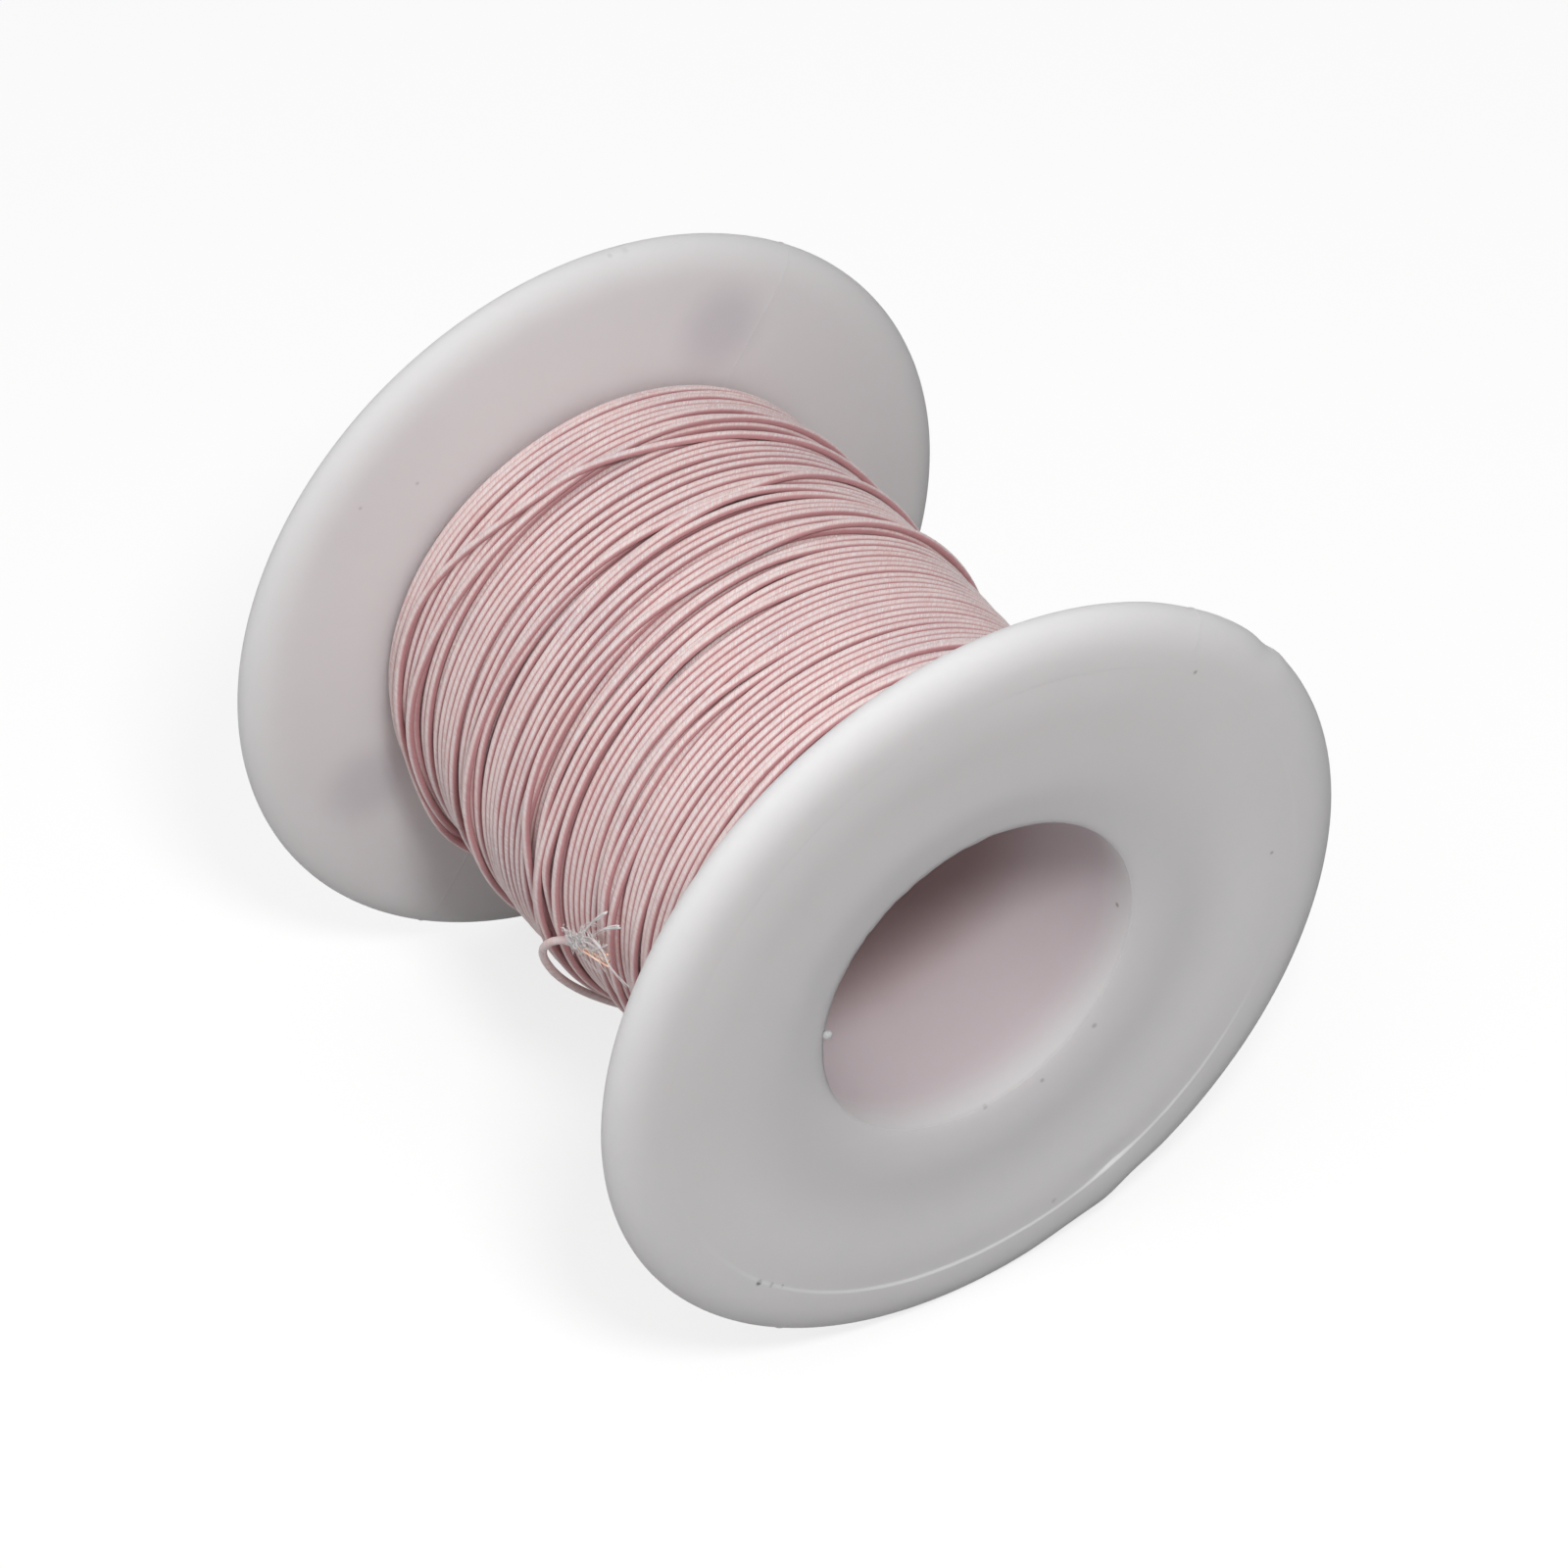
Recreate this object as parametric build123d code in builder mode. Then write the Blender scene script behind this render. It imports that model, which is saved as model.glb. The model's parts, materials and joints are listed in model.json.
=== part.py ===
from build123d import *
import math
import os

# Small plastic wire spool, lying on the rims of its two flanges.
# Millimetres. The bore runs along Y, +Z is up, and the origin is on the ground
# under the middle of the spool. The front flange is the one at -Y.

# Spool body, one moulding
flange_diameter = 50.0
spool_length = 44.3  # over the front of both rims
flange_thickness = 2.6  # at the rim, its thickest
rim_round = 2.2  # how far in from the edge the rim is rounded
face_dish = 0.7  # how far the face round the bore lies behind the rim
bore_diameter = 21.4
mouth_width = 2.7  # width of the sloping lip round the bore
mouth_depth = 0.5  # how far the lip falls before the bore begins
mouth_round = 3.0  # rounding where the lip meets the face
barrel_wall = 1.9
root_fillet = 0.8  # where the barrel meets a flange

# Silk-covered wire
wire_diameter = 0.5
winding_depth = 3.65  # all the layers, from the barrel outward
outer_layers = 2  # layers of wire that one turn of the outer tube stands for
turn_gap = 0.57  # between one outer turn and the next
seat_clearance = 0.05  # wire to barrel, and outer turns to the layers below
side_clearance = 0.1  # winding to each flange

# Bare copper strands at the cut end of the wire
strand_diameter = 0.14
strand_length = 4.6
strand_count = 3
strand_spread = 1.0  # degrees that each strand leans outward

# Worked out from the sizes above
flange_radius = flange_diameter / 2
bore_radius = bore_diameter / 2
barrel_radius = bore_radius + barrel_wall
mouth_radius = bore_radius + mouth_width
rim_front = spool_length / 2
rim_middle = rim_front - flange_thickness / 2
winding_space = rim_front - flange_thickness  # half the width between the flanges
rim_centre_radius = flange_radius - rim_round
face_at_mouth = rim_front - face_dish
bore_end = face_at_mouth - mouth_depth
turn_diameter = outer_layers * wire_diameter
turn_radius = turn_diameter / 2
winding_inside = barrel_radius + seat_clearance
winding_outside = winding_inside + winding_depth
turn_path_radius = winding_outside - turn_radius
core_radius = winding_outside - turn_diameter - seat_clearance
winding_half_width = winding_space - side_clearance
turn_reach = winding_half_width - turn_radius  # middle of the first and last turn
outer_turns = round(2 * turn_reach / (turn_diameter + turn_gap))
turn_pitch = 2 * turn_reach / outer_turns

bore_axis = Axis((0, 0, flange_radius), (0, 1, 0))
# In this plane X is the distance from the bore's axis and Y runs along it.
half_section = Plane(origin=(0, 0, flange_radius), x_dir=(1, 0, 0), z_dir=(0, 0, 1))

os.makedirs("parts", exist_ok=True)


# Spool body: a thin barrel between two flanges, with a bore right through.
with BuildPart() as spool_body:
    with BuildSketch(half_section) as section:
        with BuildLine():
            bore_wall = Line((bore_radius, 0), (bore_radius, bore_end))
            lip = Line(bore_wall @ 1, (mouth_radius, face_at_mouth))
            # The face rises outward to the rim on two equal arcs.
            face_turn = ((mouth_radius + rim_centre_radius) / 2, face_at_mouth + face_dish / 2)
            inner_face = TangentArc(lip @ 1, face_turn, tangent=(1, 0))
            outer_face = TangentArc(face_turn, (rim_centre_radius, rim_front), tangent=inner_face % 1)
            rim = EllipticalCenterArc(
                (rim_centre_radius, rim_middle),
                rim_round,
                flange_thickness / 2,
                start_angle=-90,
                arc_size=180,
            )
            flange_inside = Line(rim @ 0, (barrel_radius + root_fillet, winding_space))
            root_end = (barrel_radius, winding_space - root_fillet)
            root = TangentArc(flange_inside @ 1, root_end, tangent=(-1, 0))
            barrel_outside = Line(root @ 1, (barrel_radius, 0))
            Line(barrel_outside @ 1, bore_wall @ 0)
        make_face()
        mouth_corner = section.vertices().sort_by_distance((mouth_radius, face_at_mouth))[0]
        fillet(mouth_corner, mouth_round)
        mirror(about=Plane.XZ)
    revolve(axis=bore_axis)
spool_body.part.label = "spool_body"
export_step(spool_body.part, "parts/spool_body.step")


# Inner layers of the winding, as one plain sleeve on the barrel.
with BuildPart() as winding_core:
    with BuildSketch(Plane.XZ.offset(-winding_half_width)):
        with Locations((0, flange_radius)):
            Circle(core_radius)
            Circle(winding_inside, mode=Mode.SUBTRACT)
    extrude(amount=2 * winding_half_width)
    inner_corners = winding_core.edges().filter_by(GeomType.CIRCLE).group_by(SortBy.RADIUS)[0]
    chamfer(inner_corners, root_fillet)
winding_core.part.label = "winding_core"
export_step(winding_core.part, "parts/winding_core.step")


def turn_point(turns):
    """A point on the outer turns, that many turns from the far flange."""
    angle = -turns * 2 * math.pi
    return Vector(
        turn_path_radius * math.cos(angle),
        turn_reach - turns * turn_pitch,
        flange_radius + turn_path_radius * math.sin(angle),
    )


def turn_direction(turns):
    """The way the wire runs at that point. It starts and ends square to the bore."""
    if turns in (0, outer_turns):
        return Vector(0, 0, -1)
    angle = -turns * 2 * math.pi
    along = -turn_pitch / (2 * math.pi * turn_path_radius)
    return Vector(math.sin(angle), along, -math.cos(angle)).normalized()


def biarc_join(start, start_way, end, end_way):
    """The point where two tangent arcs between the two ends meet."""
    span = end - start
    ways = start_way + end_way
    a = ways.dot(ways) - 4
    b = -2 * span.dot(ways)
    c = span.dot(span)
    reach = c / -b if abs(a) < 1e-9 else (-b - math.sqrt(b * b - 4 * a * c)) / (2 * a)
    return (start + end + (start_way - end_way) * reach) / 2


# Outer layers of the winding, as one tube in an open helix on the inner layers.
with BuildPart() as winding_outer_turns:
    with BuildLine() as turn_path:
        Line(turn_point(0) - turn_direction(0) * turn_diameter, turn_point(0))
        for half_turn in range(2 * outer_turns):
            start = turn_point(half_turn / 2)
            start_way = turn_direction(half_turn / 2)
            end = turn_point((half_turn + 1) / 2)
            end_way = turn_direction((half_turn + 1) / 2)
            join = biarc_join(start, start_way, end, end_way)
            first_arc = TangentArc(start, join, tangent=start_way)
            TangentArc(join, end, tangent=first_arc % 1)
        last_way = turn_direction(outer_turns)
        Line(turn_point(outer_turns), turn_point(outer_turns) + last_way * turn_diameter)
    with BuildSketch(Plane(origin=turn_path.line @ 0, z_dir=turn_path.line % 0)):
        Circle(turn_radius)
    sweep()
winding_outer_turns.part.label = "winding_outer_turns"
export_step(winding_outer_turns.part, "parts/winding_outer_turns.step")

# The least gap is between turns that lie side by side, so near points on one turn are left out.
turn_wire = turn_path.wires()[0]
samples_per_turn = 60
sample_count = samples_per_turn * outer_turns
samples = [turn_wire @ (i / sample_count) for i in range(sample_count + 1)]
nearest = min(
    (samples[i] - samples[j]).length
    for i in range(len(samples))
    for j in range(i + samples_per_turn // 2, min(i + 2 * samples_per_turn, len(samples)))
)
print("outer turns: least gap to itself", round(nearest - turn_diameter, 3), "mm")


def tube_report(name, path, diameter, solid):
    """Print a tube's length and how near its volume is to its section times that length."""
    length = path.wires()[0].length
    ratio = solid.volume / (math.pi * diameter**2 / 4 * length)
    print(name, "length", round(length, 2), "mm, volume over section times length", round(ratio, 4))


tube_report("outer turns", turn_path, turn_diameter, winding_outer_turns.part)

# Loose end of the wire: it leaves the last turn at the front flange, sags under the
# winding, comes up the side in a slack loop and folds back onto the winding.
loose_route = [
    (15.8, -18.95, 24.0),
    (15.8, -18.95, 20.6),
    (15.4, -17.0, 15.4),
    (12.4, -13.6, 10.5),
    (7.2, -9.4, 7.2),
    (1.2, -5.2, 5.8),
    (-4.6, -1.6, 6.7),
    (-9.2, 0.2, 9.4),
    (-12.8, 0.5, 12.8),
    (-15.7, 0.1, 15.9),
    (-17.1, -0.1, 19.0),
    (-17.0, -1.2, 21.2),
    (-16.5, -2.8, 22.2),
    (-16.55, -4.0, 22.8),
]


def corner_radii(route):
    """The radius at each corner: 0.45 of its shorter run, over the tangent of half its turn."""
    points = [Vector(*point) for point in route]
    radii = []
    for before, corner, after in zip(points, points[1:], points[2:]):
        way_in = corner - before
        way_out = after - corner
        half_turn = math.radians(way_in.get_angle(way_out)) / 2
        radii.append(0.45 * min(way_in.length, way_out.length) / math.tan(half_turn))
    return radii


loose_radii = corner_radii(loose_route)
print("loose end radii", [round(radius, 2) for radius in loose_radii])
with BuildPart() as loose_end:
    with BuildLine() as loose_path:
        FilletPolyline(*loose_route, radius=loose_radii)
    with BuildSketch(Plane(origin=loose_path.line @ 0, z_dir=loose_path.line % 0)):
        Circle(wire_diameter / 2)
    sweep()
loose_end.part.label = "loose_end"
export_step(loose_end.part, "parts/loose_end.step")
tube_report("loose end", loose_path, wire_diameter, loose_end.part)


# Bare copper strands that stand out of the cut end of the silk.
cut_end = Plane(origin=loose_path.line @ 1, z_dir=loose_path.line % 1)
strand_offset = 0.5 * strand_diameter / math.sin(math.pi / strand_count) + seat_clearance
with BuildPart() as copper_strands:
    for strand in range(strand_count):
        turn = math.radians(360 * strand / strand_count)
        outward = cut_end.x_dir * math.cos(turn) + cut_end.y_dir * math.sin(turn)
        lean = math.radians(strand_spread)
        strand_way = cut_end.z_dir * math.cos(lean) + outward * math.sin(lean)
        with BuildSketch(Plane(origin=cut_end.origin + outward * strand_offset, z_dir=strand_way)):
            Circle(strand_diameter / 2)
        extrude(amount=strand_length)
copper_strands.part.label = "copper_strands"
export_step(copper_strands.part, "parts/copper_strands.step")
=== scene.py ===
"""Looks of the wire spool: the moulding, the silk-covered wire wound on it and its frayed loose end."""

import json
import math
import random

import bmesh
import bpy
import numpy as np
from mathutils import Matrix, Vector, noise


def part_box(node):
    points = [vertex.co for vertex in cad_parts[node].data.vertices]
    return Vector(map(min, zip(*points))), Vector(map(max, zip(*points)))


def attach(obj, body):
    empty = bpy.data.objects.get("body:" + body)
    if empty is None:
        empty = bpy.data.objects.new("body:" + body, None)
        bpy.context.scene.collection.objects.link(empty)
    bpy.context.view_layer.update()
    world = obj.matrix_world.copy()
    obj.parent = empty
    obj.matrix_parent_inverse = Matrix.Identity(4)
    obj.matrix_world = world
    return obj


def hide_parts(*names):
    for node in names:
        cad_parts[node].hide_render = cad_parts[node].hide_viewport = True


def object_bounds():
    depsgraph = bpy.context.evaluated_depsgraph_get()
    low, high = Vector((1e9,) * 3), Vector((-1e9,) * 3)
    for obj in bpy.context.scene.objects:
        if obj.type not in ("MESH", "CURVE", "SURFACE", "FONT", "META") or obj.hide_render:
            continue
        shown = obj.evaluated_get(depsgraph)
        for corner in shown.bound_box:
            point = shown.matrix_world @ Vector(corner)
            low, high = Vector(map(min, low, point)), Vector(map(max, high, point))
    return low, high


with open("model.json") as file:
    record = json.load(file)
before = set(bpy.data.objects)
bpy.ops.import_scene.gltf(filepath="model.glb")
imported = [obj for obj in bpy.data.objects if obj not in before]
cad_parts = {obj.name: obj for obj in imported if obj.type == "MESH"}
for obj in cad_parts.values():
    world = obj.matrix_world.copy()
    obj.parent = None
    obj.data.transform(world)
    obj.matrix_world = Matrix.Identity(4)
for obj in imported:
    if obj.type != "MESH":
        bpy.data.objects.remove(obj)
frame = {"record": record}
cad_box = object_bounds()

# Millimetres from here on. Meshes are made in millimetres about the bore's axis,
# and to_metres() puts them in the frame.
MM = 0.001
record = frame["record"]
bore = next(mount for mount in record["mounts"] if mount["name"] == "bore")
spool_low, spool_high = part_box("spool_body")
turns_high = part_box("winding_outer_turns")[1]

FLANGE_RADIUS = (spool_high.x - spool_low.x) / 2 / MM
AXIS_HEIGHT = (spool_high.z + spool_low.z) / 2 / MM
RIM_FRONT = spool_high.y / MM
BORE_RADIUS = bore["dims"]["r_mm"]
BORE_END = bore["dims"]["length_mm"] / 2
WINDING_RADIUS = turns_high.x / MM
WINDING_HALF_WIDTH = turns_high.y / MM

# Moulding, as in the CAD model
FLANGE_THICKNESS = 2.6
RIM_ROUND = 2.2
FACE_DISH = 0.7
MOUTH_WIDTH = 2.7
BARREL_WALL = 1.9
ROOT_FILLET = 0.8

# Worked out from those sizes: distances from the bore's axis, and from the middle along it
BARREL_RADIUS = BORE_RADIUS + BARREL_WALL
MOUTH_RADIUS = BORE_RADIUS + MOUTH_WIDTH
RIM_CENTRE_RADIUS = FLANGE_RADIUS - RIM_ROUND
RIM_MIDDLE = RIM_FRONT - FLANGE_THICKNESS / 2
INNER_FACE = RIM_FRONT - FLANGE_THICKNESS

# Where the mould's parts met: two halves round the winding space, a core at each end
PARTING_ANGLE = math.radians(56)
PARTING_ANGLES = (PARTING_ANGLE, PARTING_ANGLE + math.pi)
RING_LINE_RADIUS = 21.6
# Where the profile has points near the ring line, outward first
RING_STEPS = (0.3, 0.18, 0.12, 0.08, 0.04, 0.0, -0.04, -0.08, -0.12, -0.18, -0.3)

# Dirt and pits in the plastic, and two broad darker bluish patches on the far flange's inner face:
# degrees round the bore, radius, place along it, size, strength and colour
MARKS = (
    (64, 19.4, 19.6, 4.2, 0.30, (0.50, 0.50, 0.58)),
    (-159, 18.7, 19.6, 4.2, 0.32, (0.50, 0.50, 0.55)),
    (-136.4, 21.7, -22.1, 0.30, 0.8, (0.10, 0.10, 0.10)),
    (-133.5, 21.6, -22.1, 0.22, 0.7, (0.10, 0.10, 0.10)),
    (-131.0, 21.5, -22.1, 0.16, 0.5, (0.20, 0.18, 0.17)),
    (53.0, 21.9, -22.1, 0.20, 0.5, (0.25, 0.24, 0.24)),
    (1.5, 20.0, -22.0, 0.18, 0.5, (0.30, 0.28, 0.27)),
    (-44, 11.6, -21.1, 0.26, 0.4, (0.35, 0.31, 0.30)),
    (-66, 11.6, -21.1, 0.22, 0.4, (0.35, 0.31, 0.30)),
    (-86, 10.8, -20.9, 0.24, 0.4, (0.35, 0.31, 0.30)),
    (-4, 10.7, -19.6, 0.22, 0.6, (0.25, 0.16, 0.12)),
    (131, 19.3, 19.6, 0.20, 0.4, (0.35, 0.33, 0.32)),
    (139, 21.9, 19.6, 0.20, 0.4, (0.35, 0.33, 0.32)),
    (84.0, 24.8, 20.6, 0.35, 0.2, (0.40, 0.38, 0.38)),
    (86.5, 24.9, 20.5, 0.25, 0.2, (0.35, 0.33, 0.33)),
)

# Wire
WIRE_RADIUS = 0.25
SQUASH = 0.96  # how near two turns come, as a share of the wire's thickness
COLUMNS = 120  # steps round one turn
CELL = 0.02  # step of the height map along the winding
LAYERS_DEEP = 1.08  # from the inner layers to the outside, with two layers between
LOWER_TURNS = 72
UPPER_TURNS = 70
LAPPING_PITCH = 1.1  # length of wire in which a silk thread goes round once
BEND_COST = 22.0  # how much a turn of wire resists a sideways bend
PULLS = (1.5, 5.0, 14.0)  # how firmly the guide holds a turn
PULL_CHANCES = (0.75, 0.21, 0.04)
STRAY_PULL = 14.0

# Turns that left the row and cross their neighbours: (degrees on from the right side, place) knots.
STRAY_TURNS = (
    (
        (0, 10.6), (110, 13), (180, 16.8), (213, 17.5), (233, 14.6),
        (253, 13.7), (280, 12.1), (320, 11.0), (360, 10.4),
    ),
    ((0, 7.4), (180, 7.9), (250, 7.2), (268, 6.5), (292, 7.1), (306, 7.8), (360, 7.0)),
    ((0, 14.0), (120, 15.2), (200, 14.9), (240, 13.6), (290, 14.0), (360, 13.4)),
    ((0, 2.2), (170, 1.0), (210, 2.4), (262, 1.3), (310, 2.1), (360, 1.4)),
)

rng = np.random.default_rng(7)


def smooth_step(low, high, value):
    """0 below low, 1 above high and a smooth rise between."""
    share = np.clip((value - low) / (high - low), 0, 1)
    return share * share * (3 - 2 * share)


def bell(value, width):
    """1 at zero, falling away over about that width."""
    return np.exp(-((value / width) ** 2))


def to_metres(points):
    """Points in millimetres about the bore's axis, in the frame's metres."""
    return (np.asarray(points, float) + (0, 0, AXIS_HEIGHT)) * MM


def mesh_object(name, points, faces, material):
    """A smooth-shaded mesh object, from points in millimetres."""
    mesh = bpy.data.meshes.new(name)
    mesh.from_pydata(to_metres(points).tolist(), [], faces)
    mesh.validate()
    mesh.materials.append(material)
    mesh.shade_smooth()
    piece = bpy.data.objects.new(name, mesh)
    bpy.context.scene.collection.objects.link(piece)
    return piece


def closed_grid(rows, columns):
    """The quads of a grid of points that closes on itself both ways."""
    faces = []
    for i in range(rows):
        for j in range(columns):
            a, b = i * columns + j, i * columns + (j + 1) % columns
            c, d = ((i + 1) % rows) * columns + (j + 1) % columns, ((i + 1) % rows) * columns + j
            faces.append((a, b, c, d))
    return faces


# ---------------------------------------------------------------- materials


class Nodes:
    """The node tree of a material or world, with short calls to add and link nodes."""

    def __init__(self, owner):
        owner.use_nodes = True
        self.material = owner
        self.tree = owner.node_tree
        self.shader = self.tree.nodes.get("Principled BSDF")

    def add(self, kind, **values):
        """A node of that kind. Each value is a property, or an input by name or number."""
        node = self.tree.nodes.new(kind)
        for key, value in values.items():
            if hasattr(node, key):
                setattr(node, key, value)
            else:
                self.feed(node, key.replace("_", " "), value)
        return node

    def feed(self, node, key, value):
        """Sets an input, or links it when the value is another node's output."""
        numbered = key.startswith("in") and key[2:].isdigit()
        socket = node.inputs[int(key[2:]) if numbered else key]
        if isinstance(value, bpy.types.NodeSocket):
            self.tree.links.new(value, socket)
        else:
            socket.default_value = value

    def maths(self, operation, *values, clamp=False):
        """The output of a Math node."""
        node = self.add("ShaderNodeMath", operation=operation, use_clamp=clamp)
        for index, value in enumerate(values):
            self.feed(node, f"in{index}", value)
        return node.outputs[0]

    def ramp(self, value, *stops):
        """A colour ramp with those (place, colour) stops."""
        node = self.add("ShaderNodeValToRGB")
        elements = node.color_ramp.elements
        elements[0].position, elements[0].color = stops[0]
        elements[1].position, elements[1].color = stops[-1]
        for place, colour in stops[1:-1]:
            elements.new(place).color = colour
        self.feed(node, "Fac", value)
        return node.outputs["Color"]

    def mix(self, share, first, second):
        """A colour between two."""
        node = self.add("ShaderNodeMix", data_type="RGBA")
        self.feed(node, "in0", share)
        self.feed(node, "in6", first)
        self.feed(node, "in7", second)
        return node.outputs[2]

    def span(self, value, low, high, to_low=0.0, to_high=1.0):
        """Maps a range smoothly onto another."""
        node = self.add("ShaderNodeMapRange", interpolation_type="SMOOTHSTEP")
        for key, item in zip(("in0", "in1", "in2", "in3", "in4"), (value, low, high, to_low, to_high)):
            self.feed(node, key, item)
        return node.outputs[0]

    def noise(self, vector, scale, detail=2.0, roughness=0.5):
        """The value of a noise texture."""
        node = self.add("ShaderNodeTexNoise", Scale=scale, Detail=detail, Roughness=roughness)
        self.feed(node, "Vector", vector)
        return node.outputs["Fac"]

    def seen_directly(self):
        """1 for camera, glossy and transmitted rays, and 0 for the rays that light the object."""
        path = self.add("ShaderNodeLightPath")
        total = path.outputs["Is Camera Ray"]
        for output in ("Is Glossy Ray", "Is Transmission Ray"):
            total = self.maths("MAXIMUM", total, path.outputs[output])
        return total


def grey(value):
    """An opaque grey, or an opaque colour from three numbers."""
    return (*value, 1) if isinstance(value, tuple) else (value, value, value, 1)


def with_marks(n, place, colour):
    """The plastic's colour with its dirt, pits and two broad darker patches."""
    for degrees, mark_radius, along, size, strength, tint in MARKS:
        angle = math.radians(degrees)
        middle = (mark_radius * math.cos(angle), along, mark_radius * math.sin(angle) + AXIS_HEIGHT)
        apart = n.add("ShaderNodeVectorMath", operation="DISTANCE", in0=place, in1=[c * MM for c in middle])
        amount = n.span(apart.outputs["Value"], size * MM, size * 0.2 * MM, 0.0, strength)
        colour = n.mix(amount, colour, grey(tint))
    return colour


def milky_plastic():
    """Natural polyethylene: milky and faintly mottled, pink inside the bore, with specks of dirt."""
    n = Nodes(bpy.data.materials.new("milky_plastic"))
    place = n.add("ShaderNodeTexCoord").outputs["Object"]
    xyz = n.add("ShaderNodeSeparateXYZ", Vector=place).outputs
    height = n.maths("SUBTRACT", xyz["Z"], AXIS_HEIGHT * MM)
    across = n.maths("MULTIPLY", xyz["X"], xyz["X"])
    radius = n.maths("SQRT", n.maths("ADD", across, n.maths("MULTIPLY", height, height)))

    mottle = n.noise(place, 90.0, 3.0)
    colour = n.ramp(mottle, (0.3, grey((0.87, 0.85, 0.855))), (0.7, grey((0.90, 0.88, 0.885))))
    from_middle = n.maths("ABSOLUTE", xyz["Y"])
    # The ends are a little greyer towards the bore: painted shade, where the winding blocks the light that
    # passes through the flange elsewhere.
    painted_shade_near_bore = n.span(radius, 0.78 * FLANGE_RADIUS * MM, 0.5 * FLANGE_RADIUS * MM)
    on_end = n.span(from_middle, (RIM_FRONT - 1.5) * MM, (RIM_FRONT - 1.2) * MM)
    colour = n.mix(n.maths("MULTIPLY", painted_shade_near_bore, on_end), colour, grey((0.84, 0.815, 0.825)))
    # The wire shows pink through the thin barrel. Darker and browner towards the middle of the bore is
    # painted shade, where the lamp's light does not reach.
    deep = n.span(from_middle, (BORE_END - 8.0) * MM, (BORE_END - 15.0) * MM)
    bore_pink_and_painted_shade = n.mix(deep, grey((0.81, 0.72, 0.745)), grey((0.60, 0.47, 0.47)))
    in_bore = n.span(radius, (BORE_RADIUS + 0.9) * MM, (BORE_RADIUS + 0.05) * MM)
    past_edge = n.span(from_middle, (BORE_END - 0.2) * MM, (BORE_END - 4.0) * MM)
    colour = n.mix(n.maths("MULTIPLY", in_bore, past_edge), colour, bore_pink_and_painted_shade)
    # Specks of dirt in the skin.
    specks = n.add("ShaderNodeTexVoronoi", Scale=260.0, Vector=place).outputs["Distance"]
    chosen = n.noise(place, 140.0, 0.0)
    is_speck = n.maths("MULTIPLY", n.span(specks, 0.10, 0.05), n.span(chosen, 0.70, 0.74))
    colour = n.mix(n.maths("MULTIPLY", is_speck, 0.35), colour, grey((0.22, 0.2, 0.19)))
    colour = with_marks(n, place, colour)
    # The ring line is a sharp step, smoother and with less light spread below it. Its paler colour, mostly
    # along the lower side, is a painted highlight where the step catches the lamp.
    from_ring = n.maths("ABSOLUTE", n.maths("SUBTRACT", radius, RING_LINE_RADIUS * MM))
    painted_ring_highlight = n.maths("MULTIPLY", n.span(from_ring, 0.17 * MM, 0.07 * MM), on_end)
    low = n.span(height, -0.3 * FLANGE_RADIUS * MM, -0.75 * FLANGE_RADIUS * MM, 0.03, 0.75)
    painted_ring_highlight = n.maths("MULTIPLY", painted_ring_highlight, low)
    colour = n.mix(painted_ring_highlight, colour, grey(0.97))
    n.feed(n.shader, "Base Color", colour)
    n.feed(n.shader, "Subsurface Weight", n.span(painted_ring_highlight, 0.0, 1.0, 1.0, 0.2))

    matt = n.span(n.noise(place, 260.0, 4.0), 0.3, 0.7, 0.56, 0.68)
    n.feed(n.shader, "Roughness", n.maths("SUBTRACT", matt, n.maths("MULTIPLY", painted_ring_highlight, 0.36)))
    fine = n.noise(place, 1500.0, 3.0, 0.6)
    broad = n.noise(place, 160.0, 2.0)
    skin = n.maths("ADD", n.maths("MULTIPLY", fine, 0.25), broad)
    bump = n.add("ShaderNodeBump", Strength=0.35, Distance=0.00004, Height=skin)
    n.feed(n.shader, "Normal", bump.outputs["Normal"])
    n.shader.inputs["Subsurface Radius"].default_value = (1.0, 0.92, 0.9)
    n.shader.inputs["Subsurface Scale"].default_value = 0.0026
    n.shader.inputs["IOR"].default_value = 1.5
    n.shader.inputs["Specular IOR Level"].default_value = 0.22
    return n.material


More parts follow.
